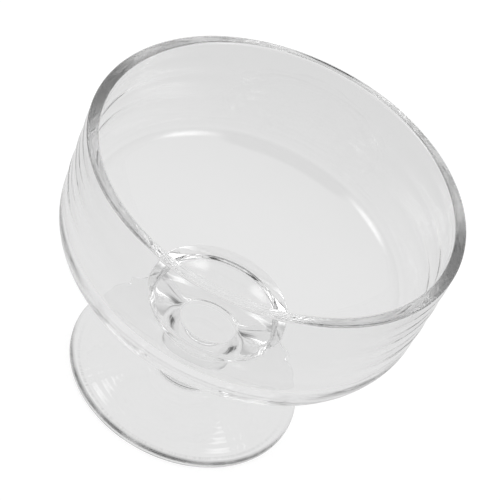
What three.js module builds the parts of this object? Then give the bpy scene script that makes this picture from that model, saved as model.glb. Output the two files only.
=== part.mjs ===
// Footed dessert cup in clear pressed glass: a dished bowl, a short solid stem and a round foot.
// Millimetres, +Z up. The cup is round about the Z axis and stands on z = 0.
// Each piece is a solid of revolution, and the pieces meet on flat fused faces.
import * as THREE from 'three';

// Bowl
const RIM_DIAMETER = 100; // outside, at the lip
const BOWL_DEPTH = 49.4; // from the rim down to the middle of the floor
const WALL_THICKNESS = 3;
const WALL_FLARE = 0.75; // how far each wall leans out between its foot and the rim
const LIP_ROUND = 1; // on both edges of the flat lip
const FLOOR_THICKNESS = 3.54;
const DISH_RISE = 19; // how far the dished floor climbs from the middle to the line of the wall
const FLOOR_FILLET = 9.5; // inside, between floor and wall
const SHOULDER_RADIUS = 13; // outside, between underside and wall
const CENTRE_THICKNESS = 4.6; // glass between the middle of the floor and the pad's lower face
const PAD_DIAMETER = 36.2; // lower face of the round pad that the stem is fused to
const PAD_SIDE = 1; // height of the pad's upright side
const PAD_FLARE = 1.66; // how far the pad widens from there up to the underside
const PAD_FILLET = 0.8; // where the pad meets the underside

// Stem
const STEM_HEIGHT = 17; // from the foot to the pad
const BAND_HEIGHT = 1.6; // the upright band at the top, which carries on the pad's side
const BAND_ROUND = 2.2; // between the band and the cone under it
const SIDE_DRAFT = THREE.MathUtils.degToRad(3.6); // slope of the pad's side and of the band
const NECK_DIAMETER = 17.6; // at the narrowest place
const NECK_RISE = 4.5; // of that place above the foot
const NECK_FILLET = 2.4;
const STEM_BASE_DIAMETER = 19.5; // at the foot

// Foot
const FOOT_DIAMETER = 65;
const FOOT_HEIGHT = 9; // from the table to the stem's lower face
const HUB_DIAMETER = 21; // where the hub in the middle meets the foot's sloping top
const HUB_HEIGHT = 3.5;
const HUB_FILLET = 3.8;
const FOOT_EDGE = 2.4; // thickness of the foot at its edge
const FOOT_EDGE_ROUND = 0.9;
const FOOT_HOLLOW = 1.2; // depth of the shallow hollow under the foot
const BEARING_WIDTH = 5; // width of the flat ring that the cup stands on

// Facets
const ROUND_STEPS = 72; // around the axis
const FACET_SAG = 0.02; // most that a facet along a profile cuts off its curve

const GLASS = { color: 0xe9ecec, roughness: 0.03, metalness: 0, transparent: true, opacity: 0.35 };

// Heights of the faces that the pieces share
const stemTop = FOOT_HEIGHT + STEM_HEIGHT;
const floorHeight = stemTop + CENTRE_THICKNESS;
const rimHeight = floorHeight + BOWL_DEPTH;

const at = (radius, height) => new THREE.Vector2(radius, height);

// Point on the side that pad and band share, so far above the joint between them
const onSide = (rise) => at(PAD_DIAMETER / 2 + rise * Math.tan(SIDE_DRAFT), stemTop + rise);

// Points on a circle from one angle to another, both ends included
function arc(centre, radius, from, to) {
  const step = 2 * Math.acos(1 - FACET_SAG / radius);
  const count = Math.max(3, Math.ceil(Math.abs(to - from) / step));
  return Array.from({ length: count + 1 }, (_, index) => {
    const angle = from + ((to - from) * index) / count;
    return at(centre.x + radius * Math.cos(angle), centre.y + radius * Math.sin(angle));
  });
}

// Round corner between two straight lines, from the first line to the second
function corner(before, tip, after, radius) {
  const back = before.clone().sub(tip).normalize();
  const ahead = after.clone().sub(tip).normalize();
  const half = Math.acos(back.dot(ahead)) / 2;
  const centre = tip.clone().addScaledVector(back.clone().add(ahead).normalize(), radius / Math.sin(half));
  const start = tip.clone().addScaledVector(back, radius / Math.tan(half)).sub(centre);
  const end = tip.clone().addScaledVector(ahead, radius / Math.tan(half)).sub(centre);
  const turn = Math.atan2(start.cross(end), start.dot(end));
  return arc(centre, radius, start.angle(), start.angle() + turn);
}

// Round corner between a wall and a dish: the circle that touches both from inside.
// The wall runs up through foot and top, and the points run from the dish to the wall.
function dishCorner(foot, top, dishCentre, dishRadius, radius) {
  const up = top.clone().sub(foot).normalize();
  const inward = at(-up.y, up.x);
  const start = foot.clone().addScaledVector(inward, radius).sub(dishCentre);
  const along = start.dot(up);
  const reach = (dishRadius - radius) ** 2 - start.lengthSq() + along ** 2;
  const centre = start.addScaledVector(up, -along - Math.sqrt(reach)).add(dishCentre);
  const dishSide = centre.clone().sub(dishCentre);
  return arc(centre, radius, Math.atan2(dishSide.y, dishSide.x), Math.atan2(-inward.y, -inward.x));
}

// Points on a dish about the axis, between two radii
function dish(centre, radius, from, to) {
  const start = -Math.acos(from / radius);
  const end = -Math.acos(to / radius);
  return arc(centre, radius, start, end);
}

function glassPiece(name, profile) {
  const geometry = new THREE.LatheGeometry(profile, ROUND_STEPS);
  geometry.rotateX(Math.PI / 2);
  const piece = new THREE.Mesh(geometry, new THREE.MeshStandardMaterial(GLASS));
  piece.name = name;
  return piece;
}

// The wall leans out to a flat lip. Floor and underside are dishes about one centre, with a low pad below.
function bowl() {
  const outerRim = at(RIM_DIAMETER / 2, rimHeight);
  const outerFoot = at(RIM_DIAMETER / 2 - WALL_FLARE, floorHeight + DISH_RISE);
  const innerRim = at(outerRim.x - WALL_THICKNESS, rimHeight);
  const innerFoot = at(outerFoot.x - WALL_THICKNESS, outerFoot.y);
  const dishRadius = (innerFoot.x ** 2 + DISH_RISE ** 2) / (2 * DISH_RISE);
  const dishCentre = at(0, floorHeight + dishRadius);
  const undersideRadius = dishRadius + FLOOR_THICKNESS;
  const shoulder = dishCorner(outerFoot, outerRim, dishCentre, undersideRadius, SHOULDER_RADIUS);
  const fillet = dishCorner(innerFoot, innerRim, dishCentre, dishRadius, FLOOR_FILLET);
  const padSide = onSide(PAD_SIDE);
  const underside = dish(dishCentre, undersideRadius, padSide.x + PAD_FLARE, shoulder[0].x);
  const padRoot = corner(padSide, underside[0], underside[1], PAD_FILLET);
  return glassPiece('bowl', [
    at(0, stemTop),
    onSide(0),
    padSide,
    ...padRoot,
    ...underside.slice(1),
    ...shoulder.slice(1),
    ...corner(outerFoot, outerRim, innerRim, LIP_ROUND),
    ...corner(outerRim, innerRim, innerFoot, LIP_ROUND),
    ...fillet.toReversed(),
    ...dish(dishCentre, dishRadius, fillet[0].x, 0).slice(1, -1),
    at(0, floorHeight),
  ]);
}

// An upright band and a cone lead down from the pad into the narrow neck, which widens again to the foot.
function stem() {
  const base = at(STEM_BASE_DIAMETER / 2, FOOT_HEIGHT);
  const neck = at(NECK_DIAMETER / 2, FOOT_HEIGHT + NECK_RISE);
  const band = onSide(-BAND_HEIGHT);
  const top = onSide(0);
  return glassPiece('stem', [
    at(0, FOOT_HEIGHT),
    base,
    ...corner(base, neck, band, NECK_FILLET),
    ...corner(neck, band, top, BAND_ROUND),
    top,
    at(0, stemTop),
  ]);
}

// A disc that slopes up to a hub, with a round edge and a shallow hollow inside a flat bearing ring.
function foot() {
  const edge = FOOT_DIAMETER / 2;
  const ring = edge - FOOT_EDGE_ROUND - BEARING_WIDTH;
  const lower = at(edge, 0);
  const upper = at(edge, FOOT_EDGE);
  const hub = at(HUB_DIAMETER / 2, FOOT_HEIGHT - HUB_HEIGHT);
  const top = at(STEM_BASE_DIAMETER / 2, FOOT_HEIGHT);
  const hollowRadius = (ring ** 2 + FOOT_HOLLOW ** 2) / (2 * FOOT_HOLLOW);
  const hollowCentre = at(0, FOOT_HOLLOW - hollowRadius);
  const ringAngle = Math.acos(ring / hollowRadius);
  return glassPiece('foot', [
    at(0, FOOT_HOLLOW),
    ...arc(hollowCentre, hollowRadius, Math.PI / 2, ringAngle).slice(1, -1),
    at(ring, 0),
    ...corner(at(ring, 0), lower, upper, FOOT_EDGE_ROUND),
    ...corner(lower, upper, hub, FOOT_EDGE_ROUND),
    ...corner(upper, hub, top, HUB_FILLET),
    top,
    at(0, FOOT_HEIGHT),
  ]);
}

const cup = new THREE.Group();
cup.add(bowl(), stem(), foot());

export default cup;
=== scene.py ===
"""Footed dessert cup in clear pressed glass: the looks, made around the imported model. Metres, +Z up."""
import math

import bpy
from mathutils import Matrix, Vector


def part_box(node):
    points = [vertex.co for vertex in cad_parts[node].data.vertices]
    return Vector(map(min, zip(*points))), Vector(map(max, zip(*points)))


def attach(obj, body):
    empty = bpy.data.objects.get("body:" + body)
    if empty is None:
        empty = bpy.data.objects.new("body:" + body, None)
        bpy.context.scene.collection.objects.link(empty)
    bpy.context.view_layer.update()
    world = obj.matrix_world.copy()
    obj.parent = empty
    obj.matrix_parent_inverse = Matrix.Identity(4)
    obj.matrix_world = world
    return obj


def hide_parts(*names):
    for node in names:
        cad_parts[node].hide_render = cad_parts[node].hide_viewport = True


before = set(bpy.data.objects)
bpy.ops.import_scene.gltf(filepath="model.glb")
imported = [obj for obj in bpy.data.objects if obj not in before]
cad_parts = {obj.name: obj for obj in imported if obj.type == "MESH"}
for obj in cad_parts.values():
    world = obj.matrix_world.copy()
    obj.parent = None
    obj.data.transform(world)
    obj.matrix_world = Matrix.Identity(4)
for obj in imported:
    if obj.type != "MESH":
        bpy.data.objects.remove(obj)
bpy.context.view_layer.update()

MM = 0.001
ON_AXIS = 1e-6 * MM  # a point that is nearer to the axis lies on it

# Sizes that the solids give
RIM_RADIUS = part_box("bowl")[1].x
RIM_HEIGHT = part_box("bowl")[1].z
STEM_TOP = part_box("stem")[1].z
PAD_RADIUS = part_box("stem")[1].x
FOOT_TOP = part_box("foot")[1].z
FOOT_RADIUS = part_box("foot")[1].x

# Bowl
BOWL_DEPTH = 49.4 * MM  # from the rim down to the middle of the floor
WALL_THICKNESS = 3 * MM
LIP_ROUND = 1 * MM  # on both edges of the flat lip
WALL_FLARE = 0.75 * MM  # how far each wall leans out between its foot and the rim
FLOOR_THICKNESS = 3.54 * MM
DISH_RISE = 19 * MM  # how far the dished floor climbs from the middle to the line of the wall
FLOOR_FILLET = 11 * MM  # inside, between floor and wall
SHOULDER_RADIUS = 13 * MM  # outside, between underside and wall
PAD_SIDE = 1 * MM  # height of the pad's upright side
PAD_BEND = 1 * MM  # where the pad's side turns outward
PAD_FLARE = 1.66 * MM  # how far the pad widens from there up to the underside
PAD_FILLET = 0.8 * MM  # where the pad meets the underside

# Low rings on the outside of the wall
RING_HEIGHT = 0.2 * MM  # to the left and right of the photograph's view
RING_HEIGHT_CALM = 0.001 * MM  # in front and behind
RING_WIDTH = 1.1 * MM
RING_PITCH = 7.25 * MM
RING_LEVEL = 67.3 * MM  # height of one of them above the table
RING_FADE = 11.6 * MM  # way from the wall's ends over which they grow to their full height
CALM_POWER = 2  # how soon they die away toward front and back

# Stem
BAND_HEIGHT = 1.6 * MM  # the upright band at the top, which carries on the pad's side
BAND_ROUND = 2.2 * MM  # between the band and the cone under it
SIDE_DRAFT = math.radians(3.6)  # slope of the pad's side and of the band
NECK_RADIUS = 8.8 * MM  # at the narrowest place
NECK_RISE = 4.5 * MM  # of that place above the foot
NECK_FILLET = 2.4 * MM
STEM_BASE_RADIUS = 9.75 * MM  # at the foot

# Foot
HUB_RADIUS = 10.5 * MM  # where the hub in the middle meets the foot's sloping top
HUB_HEIGHT = 3.5 * MM
HUB_FILLET = 3.8 * MM
FOOT_EDGE = 2.4 * MM  # thickness at the edge
FOOT_EDGE_ROUND = 0.9 * MM
FOOT_HOLLOW = 1.2 * MM  # depth of the shallow hollow underneath
BEARING_WIDTH = 5 * MM  # width of the flat ring that the cup stands on

# Low rings on the foot's sloping top
SWELL_HEIGHT = 0.04 * MM
SWELL_WIDTH = 0.75 * MM
SWELL_PITCH = 3.1 * MM
SWELL_RADIUS = 14.2 * MM  # of the innermost one
SWELL_FADE = 3.1 * MM  # way from the slope's ends over which they grow to their full height

# Keeps the stem's end faces off those of bowl and foot, because faces in one place render black
FUSE_GAP = 0.01 * MM

# Mesh fineness
AROUND = 192  # steps about the axis
ARC_STEP = math.radians(3)  # most that one edge of an arc turns
FACET_SAG = 0.004 * MM  # most that one edge cuts off its arc
LONGEST_EDGE = 1.2 * MM
RING_STEP = 0.25 * MM  # between points on a side with rings
SHARP_ANGLE = math.radians(25)

# Camera, in the frame of the photograph
IMAGE_SIDE = 500
FOCAL_PIXELS = 1954.0
SENSOR = 36.0
CAMERA_ELEVATION = math.radians(42.927)
CAMERA_DISTANCE = 511.35 * MM
CAMERA_ROLL = math.radians(26.362)
ORBIT_CENTRE = Vector((0, 0, 40 * MM))
CAMERA_TARGET = Vector((1.53 * MM, 0, 51.77 * MM))

# White floor, and the grey table that only the glass shows, with painted shade around the cup
FLOOR_HALF = 3.0
FLOOR_DROP = 0.1 * MM  # of the floor under the cup, and of the table under the floor
FLOOR_GLOW = 0.88
FLOOR_ALBEDO = 0.25
TABLE_GLOW = 0.68
TABLE_ALBEDO = 0.13
TABLE_DIM = (50 * MM, 200 * MM)  # distance from the axis over which the table grows dim
TABLE_CLEAR = (130 * MM, 260 * MM)  # distance over which it grows light again
TABLE_TURN = (math.radians(75), math.radians(150))  # turn over which the painted shade changes from front to back
TABLE_SHADE_FRONT = 0.45
TABLE_SHADE_BACK = 0.15

# Dome, with a dark room in front and two pairs of soft boxes
DOME_LEVEL = 0.74
HORIZON_LEVEL = 0.36
HORIZON_HEIGHT = math.radians(24)  # from here up the dome is fully light
BACK_TURN = (math.radians(100), math.radians(165))  # turn over which the horizon grows light too
ROOM_LEVEL = 0.03
ROOM_TURN = 0.0
ROOM_ELEVATION = math.radians(18)
ROOM_HALF = (math.radians(43), math.radians(24))  # half width and half height
ROOM_SOFTNESS = 0.12
ROOM_SQUARENESS = 4.0
FRONT_GLOW = 3.4
FRONT_TURN = math.radians(65)
FRONT_ELEVATION = math.radians(18)
FRONT_HALF = (math.radians(15), math.radians(5))
REAR_GLOW = 3.2
REAR_TURN = math.radians(162)
REAR_ELEVATION = math.radians(56.5)
REAR_HALF = (math.radians(3.5), math.radians(2.5))
BOX_SOFTNESS = 0.75
BOX_SQUARENESS = 2.0

# Glass
GLASS_IOR = 1.5
GLASS_BOUNCES = 35  # light that is caught in the wall for longer is lost, as in real glass
GLASS_TINT = (0.987, 0.987, 0.987, 1)
GLASS_TINT_DEEP = (0.974, 0.974, 0.974, 1)
FOOT_TINT = (0.962, 0.962, 0.962, 1)
FOOT_TINT_DEEP = (0.940, 0.940, 0.940, 1)
WAVE_SCALE = 110.0
WAVE_HEIGHT = 0.008 * MM
SEED_SCALE = 75.0
SEED_SIZE = 0.022  # share of a cell
SEED_HEIGHT = 0.05 * MM

# Painted shade: dark lines on the near part of the foot's edge, for the darkness that the glass edge shows
EDGE_SHADE_COLOUR = (0.09, 0.09, 0.09, 1)
EDGE_REACH = (31.3 * MM, 31.9 * MM)  # distance from the axis over which the edge begins
EDGE_LINE_LOW = 0.3 * MM
EDGE_LINE_HIGH = 2 * MM
EDGE_LINE_WIDTH = 0.7 * MM
EDGE_LINE_CORE = EDGE_LINE_WIDTH / 3  # fully dark part of the width
EDGE_NEAR = (6 * MM, -20 * MM)  # place along Y over which the painted shade of edge lines and ticks sets in, near side only
EDGE_GRAIN = 2.5
EDGE_CONTRAST = (0.1, 0.6)

# Fine ticks on the ring that the cup stands on: real bumps, darkened with painted shade on the near side
TICK_REACH = (29.2 * MM, 29.6 * MM)  # distance from the axis over which the ticks begin
TICK_DARK_END = (30.4 * MM, 30 * MM)  # and over which they are no longer dark
TICK_RISE = 0.2 * MM  # there are none above this height
TICK_SCALE = 110.0
TICK_HEIGHT = 0.04 * MM
TICK_DARKNESS = 0.45
TICK_CONTRAST = (0.45, 0.65)

# Places of the colours among the sockets of a Mix node
MIX_FIRST = 6
MIX_SECOND = 7
MIX_RESULT = 2


def at(radius, height):
    """Point of a profile."""
    return Vector((radius, height))


def on_side(rise):
    """Point on the side that pad and stem share, so far above the joint between them."""
    return at(PAD_RADIUS + rise * math.tan(SIDE_DRAFT), STEM_TOP + rise)


def arc(centre, radius, start, end):
    """Points on a circle from one angle to another, both ends included."""
    largest = min(ARC_STEP, 2 * math.acos(1 - FACET_SAG / radius))
    count = max(2, math.ceil(abs(end - start) / largest))
    angles = [start + (end - start) * step / count for step in range(count + 1)]
    return [centre + radius * Vector((math.cos(a), math.sin(a))) for a in angles]


def corner(before, tip, after, radius):
    """Round corner between two straight lines, from the first line to the second."""
    back = (before - tip).normalized()
    ahead = (after - tip).normalized()
    half = back.angle(ahead) / 2
    centre = tip + (back + ahead).normalized() * radius / math.sin(half)
    start = tip + back * radius / math.tan(half) - centre
    end = tip + ahead * radius / math.tan(half) - centre
    turn = math.atan2(start.cross(end), start.dot(end))
    angle = math.atan2(start.y, start.x)
    return arc(centre, radius, angle, angle + turn)


def dish_corner(wall_foot, wall_top, dish_centre, dish_radius, radius):
    """Round corner between a wall and a dish, from the dish to the wall."""
    up = (wall_top - wall_foot).normalized()
    inward = Vector((-up.y, up.x))
    start = wall_foot + inward * radius - dish_centre
    along = start.dot(up)
    reach = (dish_radius - radius) ** 2 - start.length_squared + along ** 2
    centre = dish_centre + start - up * (along + math.sqrt(reach))
    dish_side = centre - dish_centre
    return arc(centre, radius, math.atan2(dish_side.y, dish_side.x), math.atan2(-inward.y, -inward.x))


def dish(centre, radius, start, end):
    """Points on a dish about the axis, between two radii."""
    return arc(centre, radius, -math.acos(start / radius), -math.acos(end / radius))


def refined(profile):
    """The same outline with its long straight stretches divided."""
    points = [profile[0]]
    for p, q in zip(profile, profile[1:]):
        count = max(1, math.ceil((q - p).length / LONGEST_EDGE))
        points += [p.lerp(q, step / count) for step in range(1, count + 1)]
    return points


def ringed(start, end, height, width, pitch, crest, fade):
    """Straight side with low rings that die away at its ends.

    The crest is the way from the start to one of the rings.
    """
    length = (end - start).length
    along = (end - start) / length
    outward = Vector((along.y, -along.x))
    points = []
    for step in range(1, math.ceil(length / RING_STEP)):
        way = step * RING_STEP
        share = math.sin(math.pi * min(1, min(way, length - way) / fade) / 2)
        off = (way - crest + pitch / 2) % pitch - pitch / 2
        points.append(start + along * way + outward * height * share * math.exp(-(off / width) ** 2 / 2))
    return [start, *points, end]


def lathe(name, profile, calm_profile, material, fused_heights):
    """Closed body of revolution, whose outline starts and ends on the axis.

    It has the profile to the left and right, and the calm profile in front and behind.
    """
    points = refined(profile)
    verts = []
    rings = []
    for p, calm in zip(points, refined(calm_profile)):
        first = len(verts)
        count = 1 if p.x < ON_AXIS else AROUND
        for turn in (2 * math.pi * step / AROUND for step in range(count)):
            here = calm.lerp(p, abs(math.cos(turn)) ** CALM_POWER)
            verts.append((here.x * math.cos(turn), here.x * math.sin(turn), here.y))
        rings.append([first + step % count for step in range(AROUND + 1)])
    faces = []
    fused = []
    for (p, low), (q, high) in zip(zip(points, rings), zip(points[1:], rings[1:])):
        joint = any(max(abs(p.y - h), abs(q.y - h)) < 2 * FUSE_GAP for h in fused_heights)
        for k in range(AROUND):
            loop = (low[k], low[k + 1], high[k + 1], high[k])
            faces.append(tuple(dict.fromkeys(loop)))
            fused.append(int(joint))
    mesh = bpy.data.meshes.new(name)
    mesh.from_pydata(verts, [], faces)
    mesh.materials.append(material)
    mesh.materials.append(fused_face())
    mesh.polygons.foreach_set("material_index", fused)
    mesh.shade_smooth()
    mesh.set_sharp_from_angle(angle=SHARP_ANGLE)
    piece = bpy.data.objects.new(name, mesh)
    bpy.context.collection.objects.link(piece)
    return piece


def wire(tree, socket, value):
    """Link a socket to another one, or set it to a plain value."""
    if isinstance(value, bpy.types.NodeSocket):
        tree.links.new(value, socket)
    else:
        socket.default_value = value


def node_maker(tree):
    """Shorthand for the nodes of one tree: each call gives the new node's output."""

    def calculate(operation, *values):
        node = tree.nodes.new("ShaderNodeMath")
        node.operation = operation
        for socket, value in zip(node.inputs, values):
            wire(tree, socket, value)
        return node.outputs[0]

    def ramp(value, start, end):
        node = tree.nodes.new("ShaderNodeMapRange")
        node.interpolation_type = "SMOOTHSTEP"
        tree.links.new(value, node.inputs["Value"])
        node.inputs["From Min"].default_value = start
        node.inputs["From Max"].default_value = end
        return node.outputs["Result"]

    return calculate, ramp


def split(tree, vector):
    """The three coordinates of a place or direction."""
    node = tree.nodes.new("ShaderNodeSeparateXYZ")
    tree.links.new(vector, node.inputs[0])
    return node.outputs


def distance_from_axis(tree, x, y):
    calculate, _ = node_maker(tree)
    return calculate("SQRT", calculate("ADD", calculate("MULTIPLY", x, x), calculate("MULTIPLY", y, y)))


def turn_from_front(tree, x, y):
    """Angle about the axis, from 0 at the front (-Y) to half a turn behind, to both sides alike."""
    calculate, _ = node_maker(tree)
    return calculate("ARCTAN2", calculate("ABSOLUTE", x), calculate("MULTIPLY", y, -1.0))


def noise(tree, vector, scale):
    node = tree.nodes.new("ShaderNodeTexNoise")
    node.inputs["Scale"].default_value = scale
    tree.links.new(vector, node.inputs["Vector"])
    return node.outputs["Fac"]


def blend(tree, factor, first, second):
    """Colour between two others."""
    node = tree.nodes.new("ShaderNodeMix")
    node.data_type = "RGBA"
    tree.links.new(factor, node.inputs["Factor"])
    wire(tree, node.inputs[MIX_FIRST], first)
    wire(tree, node.inputs[MIX_SECOND], second)
    return node.outputs[MIX_RESULT]


def principled(name):
    """New material and its shader."""
    material = bpy.data.materials.new(name)
    material.use_nodes = True
    return material, material.node_tree.nodes["Principled BSDF"]


def pressed_glass(name):
    """Clear glass with faint waves, a few tiny seeds and a slight change of tint."""
    material, shader = principled(name)
    shader.inputs["Roughness"].default_value = 0.0
    shader.inputs["IOR"].default_value = GLASS_IOR
    shader.inputs["Transmission Weight"].default_value = 1.0
    tree = material.node_tree
    calculate, ramp = node_maker(tree)
    place = tree.nodes.new("ShaderNodeTexCoord").outputs["Object"]
    waves = noise(tree, place, WAVE_SCALE)
    cells = tree.nodes.new("ShaderNodeTexVoronoi")
    cells.inputs["Scale"].default_value = SEED_SCALE
    tree.links.new(place, cells.inputs["Vector"])
    seeds = ramp(cells.outputs["Distance"], SEED_SIZE, 0.0)
    height = calculate("MULTIPLY_ADD", seeds, SEED_HEIGHT, calculate("MULTIPLY", waves, WAVE_HEIGHT))
    if name == "foot_glass":
        # On the foot the base colour carries painted shade: dark edge lines and darker ticks on the near
        # side
        dark, ticks = foot_shade_and_ticks(tree, place)
        tint = blend(tree, dark, blend(tree, waves, FOOT_TINT, FOOT_TINT_DEEP), EDGE_SHADE_COLOUR)
        height = calculate("ADD", height, ticks)
    else:
        tint = blend(tree, waves, GLASS_TINT, GLASS_TINT_DEEP)
    bump = tree.nodes.new("ShaderNodeBump")
    bump.inputs["Distance"].default_value = 1.0
    tree.links.new(height, bump.inputs["Height"])
    tree.links.new(bump.outputs["Normal"], shader.inputs["Normal"])
    tree.links.new(tint, shader.inputs["Base Color"])
    return material


def foot_shade_and_ticks(tree, place):
    """Painted shade and height of the foot: uneven dark lines on its edge, and ticks on its bearing ring."""
    calculate, ramp = node_maker(tree)
    x, y, z = split(tree, place)
    reach = distance_from_axis(tree, x, y)
    turn = calculate("ARCTAN2", y, x)

    def line(level):
        off = calculate("ABSOLUTE", calculate("SUBTRACT", z, level))
        return ramp(off, EDGE_LINE_WIDTH, EDGE_LINE_CORE)

    lines = calculate("ADD", line(EDGE_LINE_LOW), line(EDGE_LINE_HIGH))
    edge = calculate("MULTIPLY", lines, ramp(reach, *EDGE_REACH))
    uneven = ramp(round_noise(tree, turn, EDGE_GRAIN), *EDGE_CONTRAST)
    grain = round_noise(tree, turn, TICK_SCALE)
    ring = calculate("MULTIPLY", ramp(reach, *TICK_REACH), ramp(z, TICK_RISE, 0.0))
    dark_ring = calculate("MULTIPLY", ring, ramp(reach, *TICK_DARK_END))
    dark_ticks = calculate("MULTIPLY", dark_ring, ramp(grain, *TICK_CONTRAST))
    ticks = calculate("MULTIPLY", dark_ticks, TICK_DARKNESS)
    # Painted shade on the near side only: the edge lines and the darkness of the ticks
    dark = calculate("MULTIPLY", calculate("MULTIPLY_ADD", edge, uneven, ticks), ramp(y, *EDGE_NEAR))
    height = calculate("MULTIPLY", calculate("MULTIPLY", grain, TICK_HEIGHT), ring)
    return dark, height


def round_noise(tree, turn, scale):
    """Noise that changes only around the axis."""
    node = tree.nodes.new("ShaderNodeTexNoise")
    node.noise_dimensions = "1D"
    node.inputs["Scale"].default_value = scale
    tree.links.new(turn, node.inputs["W"])
    return node.outputs["Fac"]


def fused_face():
    """Inside face where two pieces are fused: light goes straight on."""
    known = bpy.data.materials.get("fused_face")
    if known:
        return known
    material, shader = principled("fused_face")
    shader.inputs["Base Color"].default_value = (1, 1, 1, 1)
    shader.inputs["Roughness"].default_value = 0.0
    shader.inputs["IOR"].default_value = 1.0
    shader.inputs["Transmission Weight"].default_value = 1.0
    return material


def bowl_profile(ring_height):
    """A wall that leans out to a flat lip, and a dished floor. Under it is a low pad for the stem."""
    floor_height = RIM_HEIGHT - BOWL_DEPTH
    outer_rim = at(RIM_RADIUS, RIM_HEIGHT)
    outer_foot = at(RIM_RADIUS - WALL_FLARE, floor_height + DISH_RISE)
    inner_rim = at(outer_rim.x - WALL_THICKNESS, RIM_HEIGHT)
    inner_foot = at(outer_foot.x - WALL_THICKNESS, outer_foot.y)
    dish_radius = (inner_foot.x ** 2 + DISH_RISE ** 2) / (2 * DISH_RISE)
    dish_centre = at(0, floor_height + dish_radius)
    underside_radius = dish_radius + FLOOR_THICKNESS
    shoulder = dish_corner(outer_foot, outer_rim, dish_centre, underside_radius, SHOULDER_RADIUS)
    fillet = dish_corner(inner_foot, inner_rim, dish_centre, dish_radius, FLOOR_FILLET)
    outer_lip = corner(outer_foot, outer_rim, inner_rim, LIP_ROUND)
    inner_lip = corner(outer_rim, inner_rim, inner_foot, LIP_ROUND)
    crest = RING_LEVEL - shoulder[-1].y
    pad_side = on_side(PAD_SIDE)
    underside = dish(dish_centre, underside_radius, pad_side.x + PAD_FLARE, shoulder[0].x)
    return [
        at(0, STEM_TOP),
        on_side(0),
        *corner(on_side(0), pad_side, underside[0], PAD_BEND),
        *corner(pad_side, underside[0], underside[1], PAD_FILLET),
        *underside[1:],
        *shoulder[1:-1],
        *ringed(shoulder[-1], outer_lip[0], ring_height, RING_WIDTH, RING_PITCH, crest, RING_FADE),
        *outer_lip[1:],
        *inner_lip,
        *fillet[::-1],
        *dish(dish_centre, dish_radius, fillet[0].x, 0)[1:-1],
        at(0, floor_height),
    ]


def stem_profile():
    """An upright band and a cone lead down into the narrow neck, which widens again to the foot."""
    base = at(STEM_BASE_RADIUS, FOOT_TOP + FUSE_GAP)
    neck = at(NECK_RADIUS, FOOT_TOP + NECK_RISE)
    band = on_side(-BAND_HEIGHT)
    top = on_side(-FUSE_GAP)
    return [
        at(0, base.y),
        base,
        *corner(base, neck, band, NECK_FILLET),
        *corner(neck, band, top, BAND_ROUND),
        top,
        at(0, top.y),
    ]


def foot_profile():
    """A disc that slopes up to a hub, with a round edge and a shallow hollow inside a flat bearing ring."""
    ring = FOOT_RADIUS - FOOT_EDGE_ROUND - BEARING_WIDTH
    lower = at(FOOT_RADIUS, 0)
    upper = at(FOOT_RADIUS, FOOT_EDGE)
    hub = at(HUB_RADIUS, FOOT_TOP - HUB_HEIGHT)
    top = at(STEM_BASE_RADIUS, FOOT_TOP)
    hollow_radius = (ring ** 2 + FOOT_HOLLOW ** 2) / (2 * FOOT_HOLLOW)
    hollow_centre = at(0, FOOT_HOLLOW - hollow_radius)
    ring_angle = math.acos(ring / hollow_radius)
    edge = corner(lower, upper, hub, FOOT_EDGE_ROUND)
    root = corner(upper, hub, top, HUB_FILLET)
    crest = edge[-1].x - SWELL_RADIUS
    return [
        at(0, FOOT_HOLLOW),
        *arc(hollow_centre, hollow_radius, math.pi / 2, ring_angle)[1:-1],
        at(ring, 0),
        *corner(at(ring, 0), lower, upper, FOOT_EDGE_ROUND),
        *edge[:-1],
        *ringed(edge[-1], root[0], SWELL_HEIGHT, SWELL_WIDTH, SWELL_PITCH, crest, SWELL_FADE),
        *root[1:],
        top,
        at(0, FOOT_TOP),
    ]


def glass_piece(node, profile, calm_profile, fused_heights):
    """One piece of the cup, in the place of its CAD node."""
    slot = node + "_glass"
    piece = lathe(node + "_pressed", profile, calm_profile, pressed_glass(slot), fused_heights)
    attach(piece, "root")
    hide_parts(node)


def add_camera():
    """Camera of the photograph, which is turned about its line of sight."""
    side = Vector((0, -math.cos(CAMERA_ELEVATION), math.sin(CAMERA_ELEVATION)))
    place = ORBIT_CENTRE + side * CAMERA_DISTANCE
    ahead = (CAMERA_TARGET - place).normalized()
    right = ahead.cross(Vector((0, 0, 1))).normalized()
    up = right.cross(ahead)
    turned_right = right * math.cos(CAMERA_ROLL) + up * math.sin(CAMERA_ROLL)
    turned_up = up * math.cos(CAMERA_ROLL) - right * math.sin(CAMERA_ROLL)
    data = bpy.data.cameras.new("camera")
    data.sensor_width = SENSOR
    data.lens = FOCAL_PIXELS / IMAGE_SIDE * SENSOR
    camera = bpy.data.objects.new("camera", data)
    camera.matrix_world = Matrix((turned_right, turned_up, -ahead)).transposed().to_4x4()
    camera.location = place
    bpy.context.collection.objects.link(camera)
    bpy.context.scene.camera = camera


def add_floor(name, level, albedo):
    """Pale plane that glows a little, as a lit table does."""
    material, shader = principled(name)
    shader.inputs["Base Color"].default_value = (albedo, albedo, albedo, 1)
    shader.inputs["Roughness"].default_value = 1.0
    shader.inputs["Specular IOR Level"].default_value = 0.0
    shader.inputs["Emission Color"].default_value = (1, 1, 1, 1)
    mesh = bpy.data.meshes.new(name)
    sides = (-FLOOR_HALF, FLOOR_HALF)
    mesh.from_pydata([(x, y, level) for y in sides for x in sides], [], [(0, 1, 3, 2)])
    mesh.materials.append(material)
    floor = bpy.data.objects.new(name, mesh)
    bpy.context.collection.objects.link(floor)
    return floor, shader.inputs["Emission Strength"]


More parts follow.
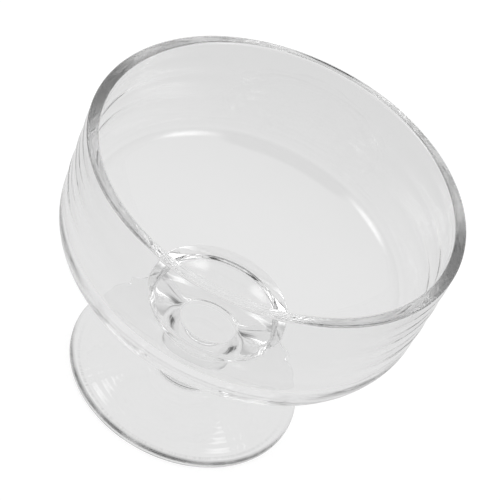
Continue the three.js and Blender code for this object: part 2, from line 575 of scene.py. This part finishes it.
def add_floors():
    """A white floor, and the pale grey table that only the glass shows, which painted shade makes dimmer
    around the cup.
    """
    floor, glow = add_floor("floor", -FLOOR_DROP, FLOOR_ALBEDO)
    glow.default_value = FLOOR_GLOW
    floor.visible_transmission = False
    floor.visible_glossy = False
    table, glow = add_floor("table", -2 * FLOOR_DROP, TABLE_ALBEDO)
    table.visible_camera = False
    tree = table.data.materials[0].node_tree
    calculate, ramp = node_maker(tree)
    x, y, z = split(tree, tree.nodes.new("ShaderNodeNewGeometry").outputs["Position"])
    reach = distance_from_axis(tree, x, y)
    # Painted shade: the table's glow is dimmed around the cup, most in front
    back = ramp(turn_from_front(tree, x, y), *TABLE_TURN)
    shade_depth = calculate("MULTIPLY_ADD", back, TABLE_SHADE_BACK - TABLE_SHADE_FRONT, TABLE_SHADE_FRONT)
    dim = calculate("MULTIPLY", ramp(reach, *TABLE_DIM), ramp(reach, *TABLE_CLEAR[::-1]))
    table_shade = calculate("MULTIPLY", dim, shade_depth)
    tree.links.new(calculate("SUBTRACT", TABLE_GLOW, table_shade), glow)


def panel(tree, turn, height, middle, elevation, half, softness, squareness):
    """How far a direction lies inside a soft-edged oval of the dome, from 0 to 1.

    Squareness 2 gives an ellipse, and a larger one squarer ends.
    """
    calculate, ramp = node_maker(tree)
    across = calculate("DIVIDE", calculate("ABSOLUTE", calculate("SUBTRACT", turn, middle)), half[0])
    over = calculate("DIVIDE", calculate("ABSOLUTE", calculate("SUBTRACT", height, elevation)), half[1])
    sides = calculate("ADD", calculate("POWER", across, squareness), calculate("POWER", over, squareness))
    return ramp(calculate("POWER", sides, 1 / squareness), 1 + softness, 1 - softness)


def add_dome():
    """Pale surroundings, dimmer low down but not behind the cup, with soft boxes and the dark room in front.

    The turn is the same to the left and to the right, so each soft box is there twice.
    """
    world = bpy.data.worlds.new("studio")
    bpy.context.scene.world = world
    world.use_nodes = True
    tree = world.node_tree
    calculate, ramp = node_maker(tree)
    x, y, z = split(tree, tree.nodes.new("ShaderNodeTexCoord").outputs["Generated"])
    turn = turn_from_front(tree, x, y)
    height = calculate("ARCSINE", z)
    lit = calculate("MAXIMUM", ramp(height, 0.0, HORIZON_HEIGHT), ramp(turn, *BACK_TURN))
    level = calculate("MULTIPLY_ADD", lit, DOME_LEVEL - HORIZON_LEVEL, HORIZON_LEVEL)
    room = panel(tree, turn, height, ROOM_TURN, ROOM_ELEVATION, ROOM_HALF, ROOM_SOFTNESS, ROOM_SQUARENESS)
    level = calculate("MULTIPLY_ADD", room, calculate("SUBTRACT", ROOM_LEVEL, level), level)
    front = panel(tree, turn, height, FRONT_TURN, FRONT_ELEVATION, FRONT_HALF, BOX_SOFTNESS, BOX_SQUARENESS)
    rear = panel(tree, turn, height, REAR_TURN, REAR_ELEVATION, REAR_HALF, BOX_SOFTNESS, BOX_SQUARENESS)
    level = calculate("MULTIPLY_ADD", front, FRONT_GLOW, level)
    level = calculate("MULTIPLY_ADD", rear, REAR_GLOW, level)
    background = tree.nodes["Background"]
    background.inputs["Color"].default_value = (1, 1, 1, 1)
    tree.links.new(level, background.inputs["Strength"])


def set_up_glass_rendering():
    """Light is followed through the many reflections inside the glass."""
    scene = bpy.context.scene
    scene.view_settings.view_transform = "Standard"
    scene.cycles.max_bounces = GLASS_BOUNCES
    scene.cycles.transmission_bounces = GLASS_BOUNCES
    scene.cycles.glossy_bounces = GLASS_BOUNCES


glass_piece("bowl", bowl_profile(RING_HEIGHT), bowl_profile(RING_HEIGHT_CALM), [STEM_TOP])
glass_piece("stem", stem_profile(), stem_profile(), [STEM_TOP, FOOT_TOP])
glass_piece("foot", foot_profile(), foot_profile(), [FOOT_TOP])
add_camera()
add_floors()
add_dome()
set_up_glass_rendering()
